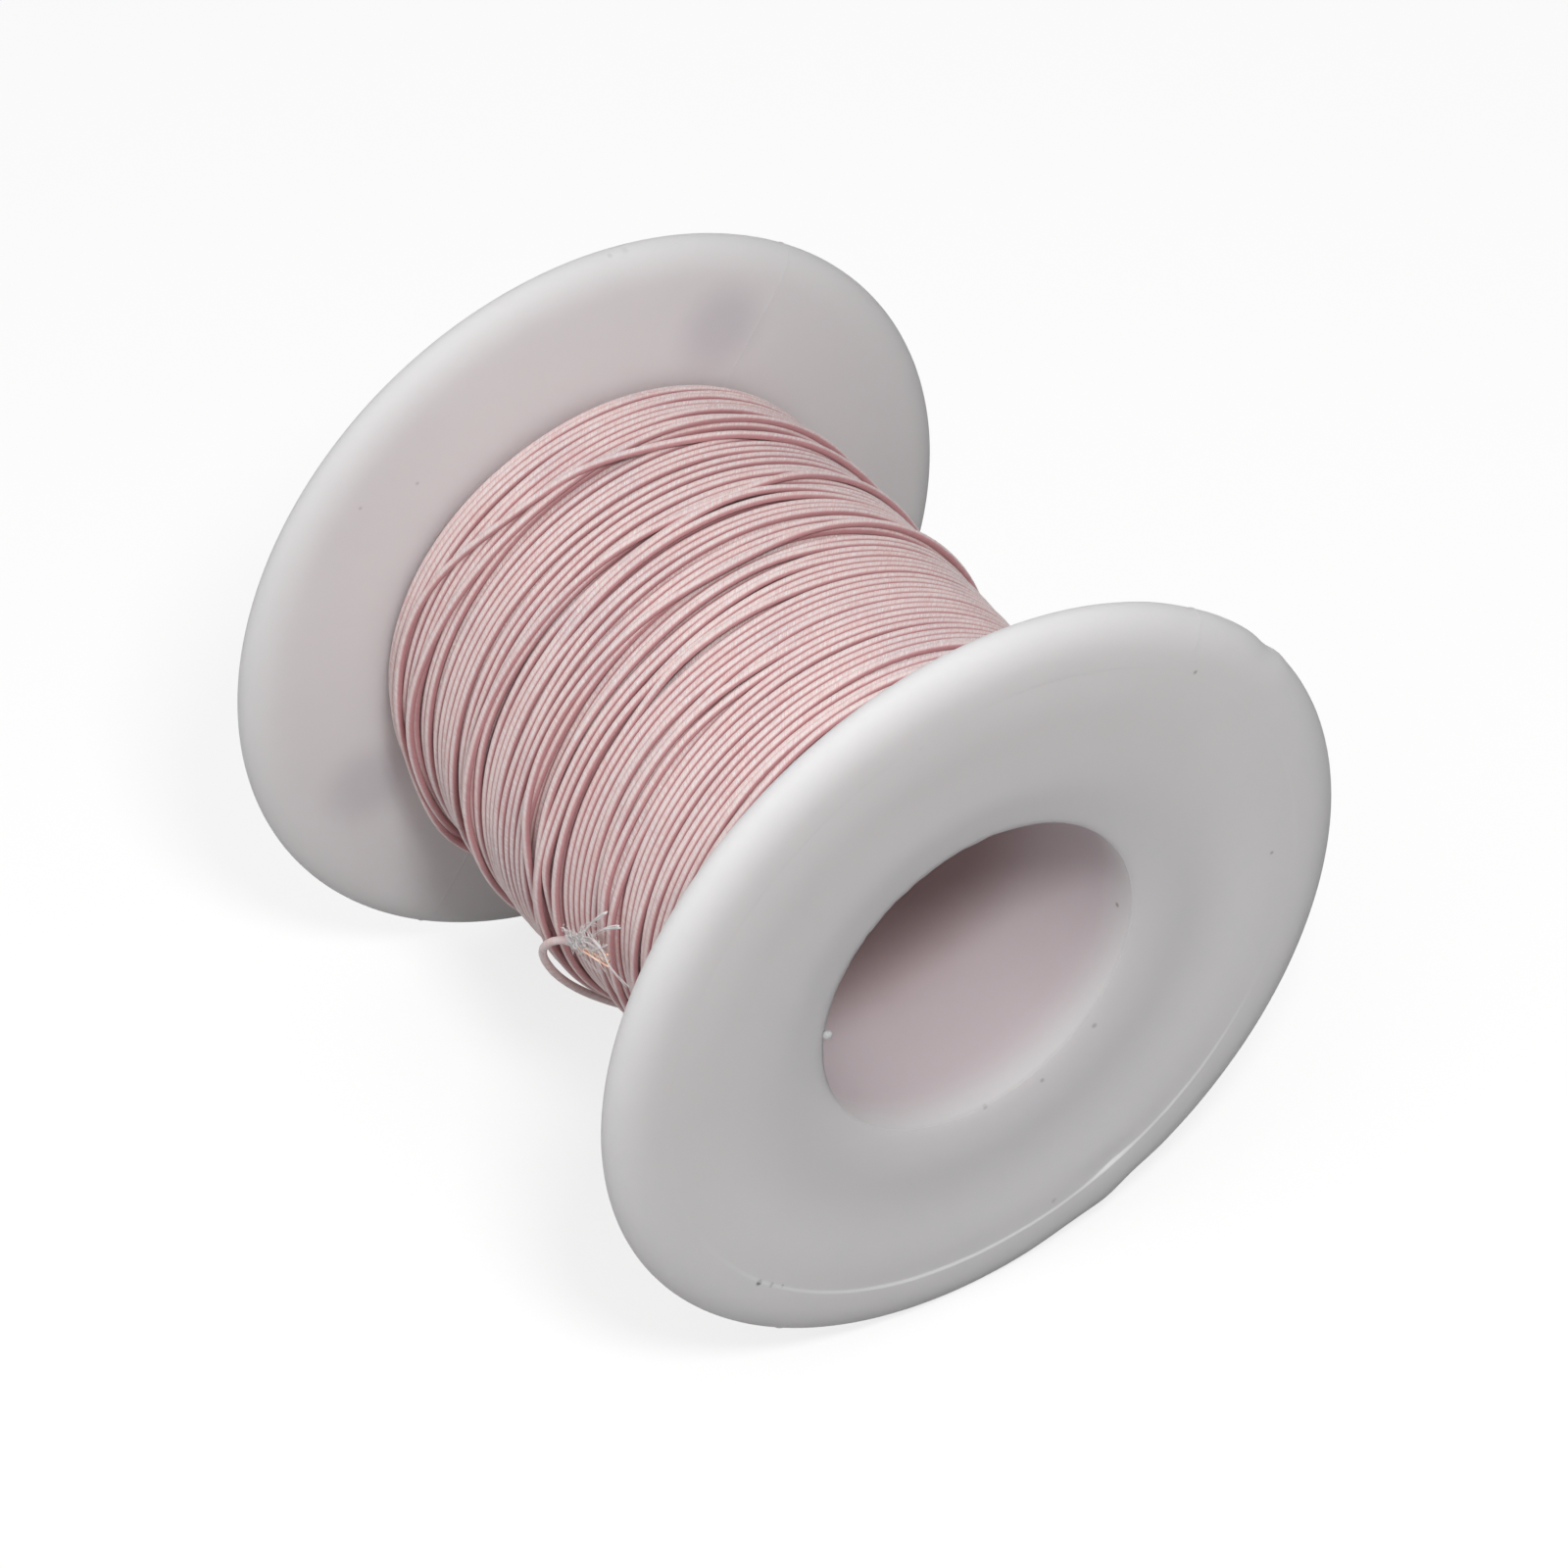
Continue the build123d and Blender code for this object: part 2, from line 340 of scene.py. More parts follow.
def silk_wire(name, shade=1.0, wound=True, sheen=0.15, specular=0.45):
    """Silk floss lapped round fine copper strands. Where it is wound, painted shade makes it deeper pink
    between the turns, and a shade below 1 makes a darker copy, painted shade for turns that lie under
    others.
    """
    n = Nodes(bpy.data.materials.new(name))
    lay = n.add("ShaderNodeAttribute", attribute_name="lay").outputs["Vector"]
    lay_parts = n.add("ShaderNodeSeparateXYZ", Vector=lay).outputs
    along, side_x, side_y = lay_parts["X"], lay_parts["Y"], lay_parts["Z"]
    # Twisting the section's coordinates along the wire makes each thread of the lapping a helix.
    turn = n.maths("MULTIPLY", along, 2 * math.pi / LAPPING_PITCH)
    cosine, sine = n.maths("COSINE", turn), n.maths("SINE", turn)
    helix_x = n.maths("SUBTRACT", n.maths("MULTIPLY", side_x, cosine), n.maths("MULTIPLY", side_y, sine))
    helix_y = n.maths("ADD", n.maths("MULTIPLY", side_x, sine), n.maths("MULTIPLY", side_y, cosine))
    stretched = n.maths("MULTIPLY", along, 0.7)
    thread_place = n.add("ShaderNodeCombineXYZ", X=stretched, Y=helix_x, Z=helix_y).outputs[0]
    threads = n.noise(thread_place, 2.6, 2.0, 0.65)
    glints = n.noise(thread_place, 4.2, 0.0)
    place = n.add("ShaderNodeTexCoord").outputs["Object"]
    patches = n.noise(place, 170.0, 2.0)
    lengths = n.noise(n.add("ShaderNodeCombineXYZ", X=along).outputs[0], 0.16, 2.0, 0.7)

    # A shade below 1 darkens every colour here: painted shade.
    pale = tuple(shade * c for c in (0.97, 0.82, 0.80))
    deep = tuple(shade * c for c in (0.86, 0.62, 0.61))
    colour = n.ramp(threads, (0.34, grey(deep)), (0.62, grey(pale)))
    cool = grey(tuple(shade * c for c in (0.74, 0.60, 0.62)))
    colour = n.mix(n.span(patches, 0.45, 0.7, 0.0, 0.5), colour, cool)
    warm = grey(tuple(shade * c for c in (0.84, 0.55, 0.53)))
    colour = n.mix(n.span(lengths, 0.45, 0.7, 0.0, 0.55), colour, warm)
    # Whitish specks on the threads: painted glints.
    colour = n.mix(n.span(glints, 0.58, 0.65), colour, grey((0.97, 0.88, 0.87)))
    if wound:
        # Painted shade: deep pink where the wire's side turns away from the outside, in the grooves between
        # turns.
        groove = n.span(side_x, 0.9, 0.35, 0.0, 0.85)
        colour = n.mix(groove, colour, grey((0.57, 0.24, 0.26)))
    n.feed(n.shader, "Base Color", colour)
    n.feed(n.shader, "Roughness", n.span(threads, 0.35, 0.65, 0.6, 0.4))
    bump = n.add("ShaderNodeBump", Strength=0.8, Distance=0.00005, Height=threads)
    n.feed(n.shader, "Normal", bump.outputs["Normal"])
    n.shader.inputs["Subsurface Weight"].default_value = 0.12
    n.shader.inputs["Subsurface Radius"].default_value = (1.0, 0.5, 0.45)
    n.shader.inputs["Subsurface Scale"].default_value = 0.00015
    n.shader.inputs["Sheen Weight"].default_value = sheen
    n.shader.inputs["Sheen Roughness"].default_value = 0.4
    n.shader.inputs["Specular IOR Level"].default_value = specular
    return n.material


def bare_copper():
    """Drawn copper strands, bright with a little tarnish."""
    n = Nodes(bpy.data.materials.new("bare_copper"))
    place = n.add("ShaderNodeTexCoord").outputs["Object"]
    tarnish = n.noise(place, 900.0, 3.0)
    dull, bright = grey((0.90, 0.50, 0.33)), grey((1.0, 0.74, 0.57))
    n.feed(n.shader, "Base Color", n.ramp(tarnish, (0.35, dull), (0.65, bright)))
    n.feed(n.shader, "Roughness", n.span(tarnish, 0.3, 0.7, 0.38, 0.24))
    n.shader.inputs["Metallic"].default_value = 1.0
    return n.material


def silk_floss():
    """Loose silk filaments, pale and shining."""
    n = Nodes(bpy.data.materials.new("silk_floss"))
    place = n.add("ShaderNodeTexCoord").outputs["Object"]
    pink, white = grey((0.96, 0.88, 0.88)), grey((1.0, 0.97, 0.97))
    n.feed(n.shader, "Base Color", n.ramp(n.noise(place, 1200.0), (0.35, pink), (0.65, white)))
    n.shader.inputs["Roughness"].default_value = 0.4
    n.shader.inputs["Sheen Weight"].default_value = 0.4
    n.shader.inputs["Subsurface Weight"].default_value = 0.3
    n.shader.inputs["Subsurface Radius"].default_value = (1.0, 0.8, 0.8)
    n.shader.inputs["Subsurface Scale"].default_value = 0.0001
    return n.material


PLASTIC = milky_plastic()
SILK = silk_wire("silk_covered_wire", wound=False)
SILK_WOUND = silk_wire("silk_covered_wire_wound")
# A darker, duller copy for the lower turns and the sleeve: painted shade, as they lie under the top turns.
SILK_BELOW_PAINTED_SHADE = silk_wire("silk_covered_wire_below", 0.88, sheen=0.0, specular=0.12)
COPPER = bare_copper()
FLOSS = silk_floss()


# ---------------------------------------------------------------- moulding


def arc_points(centre, radii, start, end, steps):
    """Points on an elliptical arc, from one angle to another in degrees, without its first point."""
    turns = np.radians(np.linspace(start, end, steps + 1)[1:])
    return [(centre[0] + radii[0] * math.cos(t), centre[1] + radii[1] * math.sin(t)) for t in turns]


def line_points(start, end, steps):
    """Points on a line, without its first one."""
    return [tuple(np.add(start, (np.subtract(end, start)) * k / steps)) for k in range(1, steps + 1)]


def face_height(radius):
    """How far out along the bore the front face lies at that radius, between the mouth and the rim."""
    share = np.clip((radius - MOUTH_RADIUS) / (RIM_CENTRE_RADIUS - MOUTH_RADIUS), 0, 1)
    rise = np.where(share < 0.5, 2 * share**2, 1 - 2 * (1 - share) ** 2)
    return RIM_FRONT - FACE_DISH * (1 - rise)


def half_profile():
    """The section of one half, as (distance from the bore's axis, distance along it), outside first."""
    points = [(BARREL_RADIUS, 0.0)]
    points += line_points(points[-1], (BARREL_RADIUS, INNER_FACE - ROOT_FILLET), 6)
    root_centre = (BARREL_RADIUS + ROOT_FILLET, INNER_FACE - ROOT_FILLET)
    points += arc_points(root_centre, (ROOT_FILLET, ROOT_FILLET), 180, 90, 6)
    points += line_points(points[-1], (RIM_CENTRE_RADIUS, INNER_FACE), 14)
    rim_centre = (RIM_CENTRE_RADIUS, RIM_MIDDLE)
    points += arc_points(rim_centre, (RIM_ROUND, FLANGE_THICKNESS / 2), -90, 90, 28)
    # The front face, with close points at the ring line.
    ring = [RING_LINE_RADIUS + step for step in RING_STEPS]
    outer = [RIM_CENTRE_RADIUS - 0.5, *ring]
    inner = np.linspace(ring[-1], MOUTH_RADIUS + 1.1, 16)[1:]
    for radius in [*outer, *inner]:
        points.append((radius, float(face_height(radius))))
    # A round corner leads to the sloping lip, which ends at the bore's sharp edge.
    corner_start = np.array(points[-1])
    corner_mid = np.array((MOUTH_RADIUS, RIM_FRONT - FACE_DISH))
    corner_end = np.array((MOUTH_RADIUS - 0.9, 0.0))
    slope = (RIM_FRONT - FACE_DISH - BORE_END) / MOUTH_WIDTH
    corner_end[1] = BORE_END + slope * (corner_end[0] - BORE_RADIUS)
    for share in np.linspace(0, 1, 9)[1:]:
        a = corner_start * (1 - share) + corner_mid * share
        b = corner_mid * (1 - share) + corner_end * share
        points.append(tuple(a * (1 - share) + b * share))
    edge = (BORE_RADIUS, BORE_END)
    points += line_points(points[-1], (edge[0] + 0.12, edge[1] + slope * 0.12), 5)
    points.append((edge[0] + 0.05, edge[1] + slope * 0.05))
    points.append(edge)
    points.append((BORE_RADIUS, BORE_END - 0.06))
    points.append((BORE_RADIUS, BORE_END - 0.2))
    points += line_points(points[-1], (BORE_RADIUS, 0.0), 24)
    return points


def ring_noise(angle, scale, seed):
    """Smooth noise round a circle, from about -1 to 1."""
    return noise.noise(Vector((scale * math.cos(angle), scale * math.sin(angle), seed)))


def angle_gap(angle, other):
    """The turn from one angle to another, from -pi to pi."""
    return (angle - other + math.pi) % (2 * math.pi) - math.pi


def moulding_angles():
    """Angles round the spool: even, with close ones at the mould's parting plane."""
    angles = set(np.round(np.linspace(0, 2 * math.pi, 300, endpoint=False), 5))
    for centre in PARTING_ANGLES:
        for step in (0.0, 0.12, 0.24, 0.4, 0.65):
            angles.update(round((centre + sign * math.radians(step)) % (2 * math.pi), 5) for sign in (-1, 1))
    return sorted(angles)


# Marks left by the mould and by handling: angle in degrees, radius, width along the rim, height out.
RIM_MARKS = (
    (40.0, 24.9, 1.1, -0.14),
    (36.5, 24.9, 0.8, 0.05),
    (57.0, 24.4, 1.6, -0.05),
    (-67.0, 24.9, 1.3, 0.16),
    (-61.5, 24.9, 1.4, -0.14),
    (-75.0, 24.9, 1.8, -0.10),
)


def moulding_point(radius, along, angle, side):
    """A point of the moulding with its small flaws. along is measured from the middle, to either side."""
    out_r, out_y = 0.0, 0.0
    # Slow waves from shrinkage.
    if along > INNER_FACE - 0.01:
        out_y -= 0.03 - 0.03 * ring_noise(angle, 1.3, side * 5.0 + radius * 0.12)
    # The step at the ring line, where the end core stood a little proud of the side halves.
    on_front = along > RIM_MIDDLE
    if on_front:
        strength = max(0.1, 0.35 + 0.9 * ring_noise(angle, 2.2, 11.0 + side))
        strength += 1.3 * bell(angle_gap(angle, math.radians(-91)), 0.55)
        strength += 2.6 * bell(angle_gap(angle, math.radians(-64)), 0.07)
        wavy = RING_LINE_RADIUS + 0.06 * ring_noise(angle, 6.0, 2.0)
        inward = wavy - radius
        out_y -= 0.05 * strength * smooth_step(-0.09, 0.09, inward) * (1 - smooth_step(0.1, 1.6, inward))
    # Flash at the bore's edge.
    if abs(radius - BORE_RADIUS) < 0.03 and abs(along - BORE_END) < 0.03:
        out_y += 0.05 + 0.05 * ring_noise(angle, 9.0, 3.0 + side) + 0.03 * ring_noise(angle, 40.0, 4.0)
        out_r -= 0.03 + 0.02 * ring_noise(angle, 14.0, 8.0 + side)
    # The parting line on what the side halves made: the inner faces and the rim.
    by_halves = along < RIM_FRONT - 0.35 * FLANGE_THICKNESS or radius > RING_LINE_RADIUS
    if by_halves and radius > BARREL_RADIUS - 0.01:
        for plane in PARTING_ANGLES:
            ridge = 0.045 * bell(angle_gap(angle, plane) * radius, 0.07)
            if radius > RIM_CENTRE_RADIUS:
                nose = (along - RIM_MIDDLE) / (FLANGE_THICKNESS / 2)
                out_r += ridge * math.sqrt(max(0.0, 1 - nose * nose))
                out_y += ridge * nose
            elif not on_front and along > INNER_FACE - 0.01:
                out_y -= ridge
    # Dents and nibs on the rim of the front flange.
    if side < 0 and radius > RIM_CENTRE_RADIUS:
        for degrees, mark_radius, width, height in RIM_MARKS:
            gap = angle_gap(angle, math.radians(degrees)) * mark_radius
            out_r += height * bell(gap, width) * bell(radius - mark_radius, 1.2)
    return radius + out_r, side * (along + out_y)


def burr_points(centre, size, seed):
    """A small lump of plastic left on the bore's edge."""
    lump = bmesh.new()
    bmesh.ops.create_icosphere(lump, subdivisions=3, radius=size)
    for vertex in lump.verts:
        vertex.co *= 1 + 0.25 * noise.noise(vertex.co * (1.5 / size) + Vector((seed, 0, 0)))
        vertex.co += Vector(centre)
    points = [tuple(vertex.co) for vertex in lump.verts]
    faces = [[vertex.index for vertex in face.verts] for face in lump.faces]
    lump.free()
    return points, faces


def make_moulding():
    """The spool body, as one closed skin turned about the bore's axis."""
    half = half_profile()
    section = [(r, y, 1) for r, y in half[:-1]] + [(half[-1][0], 0.0, 1)]
    section += [(r, y, -1) for r, y in reversed(half[1:-1])]
    angles = moulding_angles()
    points = []
    for angle in angles:
        for radius, along, side in section:
            r, y = moulding_point(radius, along, angle, side)
            points.append((r * math.cos(angle), y, r * math.sin(angle)))
    faces = closed_grid(len(angles), len(section))
    piece = mesh_object("spool_moulding", points, faces, PLASTIC)
    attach(piece, "root")
    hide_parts("spool_body")

    angle = math.radians(173)
    centre = (10.55 * math.cos(angle), -BORE_END - 0.18, 10.55 * math.sin(angle))
    burr = mesh_object("burr", *burr_points(centre, 0.27, 2.0), PLASTIC)
    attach(burr, "root")


# ---------------------------------------------------------------- winding


def winding_outside(along, angle):
    """The radius to which the winding is full: round at the flanges, slack below on the left."""
    from_flange = WINDING_HALF_WIDTH - np.abs(along)
    outside = WINDING_RADIUS + 0.05 - 0.65 * bell(from_flange, 1.0) - 0.45 * smooth_step(-2, 8, -along)
    below_left = bell(angle_gap(angle, math.radians(215)), 0.8)
    sag = 0.75 * bell(along - 4, 6.5)
    return outside + below_left * sag


def blur(values, width):
    """Gaussian smoothing of a row of samples. Beyond its ends, the row goes on at its last value."""
    reach = int(3 * width) + 1
    weights = np.exp(-0.5 * (np.arange(-reach, reach + 1) / width) ** 2)
    weights /= weights.sum()
    return np.convolve(np.pad(values, reach, mode="edge"), weights, mode="valid")


def round_wave(width):
    """A random wave round one turn, which ends as it starts."""
    return blur(np.tile(rng.normal(0, 1, COLUMNS), 3), width)[COLUMNS : 2 * COLUMNS + 1]


def layer_guides(turns, start, end, slack):
    """Where the guide lays each turn: bunched and spread, with its own wander and one all share."""
    steps = 0.86 + slack * rng.gamma(0.5, 1.0, turns + 1)
    places = start + (end - start) * np.concatenate([[0], np.cumsum(steps)]) / steps.sum()
    share = np.linspace(0, 1, COLUMNS + 1)
    shared = round_wave(12)
    rows = []
    for k in range(turns):
        shared = 0.9 * shared + 0.35 * round_wave(12)
        own = 0.6 * round_wave(7) * np.sin(math.pi * share) ** 0.5
        rows.append(places[k] + (places[k + 1] - places[k]) * share + 0.25 * shared + own)
    return rows


def stray_turn(*knots):
    """The guide of a turn that wanders off, from (degrees on from the right side, place) knots."""
    degrees, places = zip(*knots)
    row = np.interp(np.linspace(0, 360, COLUMNS + 1), degrees, places)
    return blur(row, 3.0)


class Winding:
    """A height map of the winding, on which each turn of wire finds its place as it is laid."""

    def __init__(self):
        self.cells = np.arange(-WINDING_HALF_WIDTH, WINDING_HALF_WIDTH + CELL / 2, CELL)
        self.angles = -2 * math.pi * np.arange(COLUMNS) / COLUMNS
        self.height = np.array([winding_outside(self.cells, angle) for angle in self.angles])
        self.height -= LAYERS_DEEP
        reach = int(WIRE_RADIUS * SQUASH / CELL)
        self.offsets = np.arange(-reach, reach + 1)
        self.cap = np.sqrt((WIRE_RADIUS * SQUASH) ** 2 - (self.offsets * CELL) ** 2)

    def rest_height(self, column, places):
        """The radius at which the wire's middle would come to rest, for places along one column."""
        index = np.clip(np.round((places - self.cells[0]) / CELL).astype(int), 0, len(self.cells) - 1)
        near = np.clip(index[..., None] + self.offsets, 0, len(self.cells) - 1)
        return (self.height[column][near] + self.cap).max(-1)

    def lay(self, guide, pull):
        """Lays one turn. It slides sideways into a groove near the guide, without sharp bends."""
        shifts = np.arange(-0.24, 0.241, 0.04)
        limit = WINDING_HALF_WIDTH - WIRE_RADIUS
        columns = np.arange(COLUMNS + 1) % COLUMNS
        places = np.clip(guide[:, None] + shifts, -limit, limit)
        cost = np.array([self.rest_height(column, row) for column, row in zip(columns, places)])
        cost += pull * (places - guide[:, None]) ** 2
        # The cheapest smooth path along the turn.
        best, came = cost[0], []
        for k in range(1, COLUMNS + 1):
            bend = BEND_COST * (places[k][:, None] - places[k - 1][None, :]) ** 2
            total = best[None, :] + bend
            came.append(total.argmin(1))
            best = total.min(1) + cost[k]
        choice = [int(best.argmin())]
        for row in reversed(came):
            choice.append(int(row[choice[-1]]))
        path = blur(places[np.arange(COLUMNS + 1), choice[::-1]], 2.0)
        rest = np.array([self.rest_height(column, place) for column, place in zip(columns, path)])
        # The wire is tight, so it bridges small hollows.
        lifted = np.maximum(np.roll(rest, 1), np.maximum(rest, np.roll(rest, -1)))
        rest = np.maximum(rest, blur(lifted, 2.0) - 0.03)
        rest = blur(rest, 1.2)
        for column, place, radius in zip(columns[:-1], path, rest):
            index = int(round((place - self.cells[0]) / CELL))
            near = index + self.offsets
            inside = (near >= 0) & (near < len(self.cells))
            near = near[inside]
            self.height[column][near] = np.maximum(self.height[column][near], radius + self.cap[inside])
        return path, rest

    def lay_all(self, guides, strays=()):
        """Lays turn after turn and returns the whole path: angle, place and radius at each sample.
        A stray replaces the first guided turn that starts no further along than it does."""
        places, radii = [], []
        turns = [(guide, float(rng.choice(PULLS, p=PULL_CHANCES))) for guide in guides]
        for stray in strays:
            turns[sum(guide[0] > stray[0] for guide in guides)] = (stray, STRAY_PULL)
        for guide, pull in turns:
            if places:
                step = places[-1] - guide[0]
                guide = guide + step * (1 - smooth_step(0, 0.25, np.linspace(0, 1, COLUMNS + 1)))
            path, rest = self.lay(guide, pull)
            if places:
                ease = 1 - smooth_step(0, 0.08, np.linspace(0, 1, COLUMNS + 1))
                path = path + (places[-1] - path[0]) * ease
                rest = rest + (radii[-1] - rest[0]) * ease
                places.pop()
                radii.pop()
            places.extend(path)
            radii.extend(rest)
        angles = -2 * math.pi * np.arange(len(places)) / COLUMNS
        return angles, np.array(places), np.array(radii)


def carried_frames(way):
    """A direction across the tube at each point, carried along it without twist."""
    across = np.zeros_like(way)
    start = np.cross(way[0], (0.0, 0.3, 1.0))
    across[0] = start / np.linalg.norm(start)
    for k in range(1, len(way)):
        moved = across[k - 1] - way[k] * (across[k - 1] @ way[k])
        across[k] = moved / np.linalg.norm(moved)
    return across


def add_lay(mesh, centres, turns):
    """The lay attribute: the length along the tube and the direction round it."""
    length = np.concatenate([[0], np.cumsum(np.linalg.norm(np.diff(centres, axis=0), axis=1))])
    lay = np.zeros((len(centres), len(turns), 3), np.float32)
    lay[..., 0] = length[:, None]
    lay[..., 1] = np.cos(turns)
    lay[..., 2] = np.sin(turns)
    attribute = mesh.attributes.new("lay", "FLOAT_VECTOR", "POINT")
    attribute.data.foreach_set("vector", lay.ravel())


def add_bake_map(mesh, k, s, turn_length):
    """The bake's map: a row for each turn, from the steps k along and s round of each quad."""
    steps, sides = k.shape
    rows = math.ceil(steps / turn_length)
    row, column = k // turn_length, k % turn_length
    u0, u1 = column / turn_length, (column + 1) / turn_length
    v0, v1 = (row + s / sides) / rows, (row + (s + 1) / sides) / rows
    uv = np.stack([u0, v0, u0, v1, u1, v1, u1, v0], -1).reshape(-1, 2)
    corners = np.concatenate([uv, np.zeros((2 * sides, 2))])
    mesh.uv_layers.new(name="OFBake").data.foreach_set("uv", corners.astype(np.float32).ravel())


def tube(name, centres, radius, sides, material, frames=None, turn_length=None):
    """A closed tube along centres in millimetres. Its lay attribute holds the length along it and the
    direction round it, for the silk's threads. Turns of a winding each get a row of the bake's map."""
    centres = np.asarray(centres, float)
    count = len(centres)
    way = np.gradient(centres, axis=0)
    way /= np.linalg.norm(way, axis=1)[:, None]
    if frames is None:
        across = carried_frames(way)
    else:
        across = frames - way * (frames * way).sum(1)[:, None]
        across /= np.linalg.norm(across, axis=1)[:, None]
    third = np.cross(way, across)
    turns = 2 * math.pi * np.arange(sides) / sides
    radii = np.broadcast_to(np.asarray(radius, float), (count,))
    ring = across[:, None] * np.cos(turns)[None, :, None] + third[:, None] * np.sin(turns)[None, :, None]
    points = (centres[:, None] + ring * radii[:, None, None]).reshape(-1, 3)
    k, s = np.meshgrid(np.arange(count - 1), np.arange(sides), indexing="ij")
    after = (s + 1) % sides
    quads = np.stack([k * sides + s, k * sides + after, (k + 1) * sides + after, (k + 1) * sides + s], -1)
    faces = quads.reshape(-1, 4).tolist()
    faces.append(list(range(sides))[::-1])
    faces.append(list(range((count - 1) * sides, count * sides)))
    piece = mesh_object(name, points, faces, material)
    add_lay(piece.data, centres, turns)
    if turn_length:
        add_bake_map(piece.data, k, s, turn_length)
    return piece


def winding_centres(angles, places, radii):
    """The wound wire's centre line, and the outward direction at each of its points."""
    outward = np.stack([np.cos(angles), np.zeros_like(angles), np.sin(angles)], -1)
    centres = outward * radii[:, None]
    centres[:, 1] = places
    return centres, outward


def make_sleeve(winding, heights):
    """The plain sleeve under the two layers of turns, a little below the height map they lie on."""
    every = 12
    sunk = 0.02
    inner = BARREL_RADIUS + 0.9
    steps = winding.cells[::every]
    points = []
    for column in range(COLUMNS):
        angle = winding.angles[column]
        for place, radius in zip(steps, heights[column][::every]):
            points.append(((radius - sunk) * math.cos(angle), place, (radius - sunk) * math.sin(angle)))
        for place in (steps[-1], steps[0]):
            points.append((inner * math.cos(angle), place, inner * math.sin(angle)))
    # The columns go round backwards, so the quads are turned over.
    faces = [(a, d, c, b) for a, b, c, d in closed_grid(COLUMNS, len(steps) + 2)]
    # With no lay attribute the sleeve takes the painted groove shade all over, on the painted-shade copy of
    # the silk.
    sleeve = mesh_object("winding_inner_layers", points, faces, SILK_BELOW_PAINTED_SHADE)
    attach(sleeve, "root")
    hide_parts("winding_core")


def make_winding():
    """Two real layers of turns on a plain sleeve that stands for the layers below them."""
    winding = Winding()
    reach = WINDING_HALF_WIDTH - WIRE_RADIUS
    sleeve_heights = winding.height.copy()
    lower_guides = layer_guides(LOWER_TURNS, -reach, reach, 0.08)
    lower, lower_out = winding_centres(*winding.lay_all(lower_guides))
    strays = [stray_turn(*knots) for knots in STRAY_TURNS]
    upper_guides = layer_guides(UPPER_TURNS, reach, 0.25 - reach, 0.2)
    upper, upper_out = winding_centres(*winding.lay_all(upper_guides, strays))
    # The last turn comes round to where the loose wire starts.
    start = about_axis([LOOSE_ROUTE[0]])[0]
    last = 14
    upper[-last:] += (start - upper[-1]) * smooth_step(0, 1, np.linspace(0, 1, last))[:, None]

    make_sleeve(winding, sleeve_heights)
    below = tube("winding_lower_turns", lower, WIRE_RADIUS, 8, SILK_BELOW_PAINTED_SHADE, lower_out, COLUMNS)
    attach(below, "root")
    top = tube("winding_upper_turns", upper, WIRE_RADIUS, 10, SILK_WOUND, upper_out, COLUMNS)
    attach(top, "root")
    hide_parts("winding_outer_turns")


# ---------------------------------------------------------------- loose end

# The loose wire's route, in metres. The first seven points are the CAD model's, and the
# others are within 0.5 mm of its points.
LOOSE_ROUTE = [
    (0.0158, -0.01895, 0.024),
    (0.0158, -0.01895, 0.0206),
    (0.0154, -0.017, 0.0154),
    (0.0124, -0.0136, 0.0105),
    (0.0072, -0.0094, 0.0072),
    (0.0012, -0.0052, 0.0058),
    (-0.0046, -0.0016, 0.0067),
    (-0.0089, 0.0004, 0.0097),
    (-0.0128, 0.0006, 0.0129),
    (-0.0154, 0.0002, 0.0161),
    (-0.0168, -0.0002, 0.019),
    (-0.0171, -0.0013, 0.0211),
    (-0.0165, -0.0028, 0.0223),
    (-0.0166, -0.0042, 0.0229),
]


# Copper strands: how far each one rises round the winding, how far it reaches ahead, and
# where round the winding it starts.
COPPER_STRANDS = (
    (1.9, 4.2, -0.14),
    (1.92, 4.35, -0.02),
    (2.1, 4.25, 0.1),
    (2.12, 4.35, 0.22),
    (2.3, 4.2, 0.36),
)
STRAND_RADIUS = 0.075

# Long filaments of silk: thickness, waver, and the places they pass (ahead, round, out).
LONG_FILAMENTS = (
    (0.03, 0.05, (1.2, 2.0, 0.25), (2.45, 4.0, 0.3), (3.75, 5.5, 0.3)),
    (0.022, 0.08, (1.0, 1.2, 0.2), (2.4, 2.9, 0.2), (3.7, 4.2, 0.2), (5.0, 5.4, 0.2)),
    (
        0.03, 0.05, (1.1, 1.6, 0.3), (2.2, 2.9, 0.3), (3.3, 2.8, 0.3), (4.0, 2.4, 0.3),
        (4.3, 1.8, 0.3), (5.1, 1.6, 0.1), (6.1, 1.5, 0.0),
    ),
    (0.025, 0.1, (0.9, 1.2, 0.3), (2.1, 2.2, 0.35), (3.2, 2.4, 0.3), (3.8, 1.9, 0.2)),
    (0.022, 0.1, (0.7, 1.5, 0.2), (1.6, 3.0, 0.2), (2.7, 3.9, 0.2)),
    (0.022, 0.1, (0.3, 0.9, 0.2), (0.8, 1.8, 0.15), (1.2, 2.5, 0.1)),
    (0.022, 0.15, (1.6, 1.4, 0.3), (2.6, 2.0, 0.4), (3.6, 2.9, 0.3), (3.9, 3.4, 0.2)),
    (0.02, 0.1, (0.5, -0.5, 0.1), (1.4, -0.6, 0.0), (2.2, -0.5, -0.1)),
)
THICK_TIPPED = 2  # how many of them, from the first, are thick at the tip
COPIES = 4  # filaments side by side for each row above
FLUFF_COUNT = 190
WAVER_SHARES = (1, 1, 0.3)  # how much a filament wavers ahead, round and outward


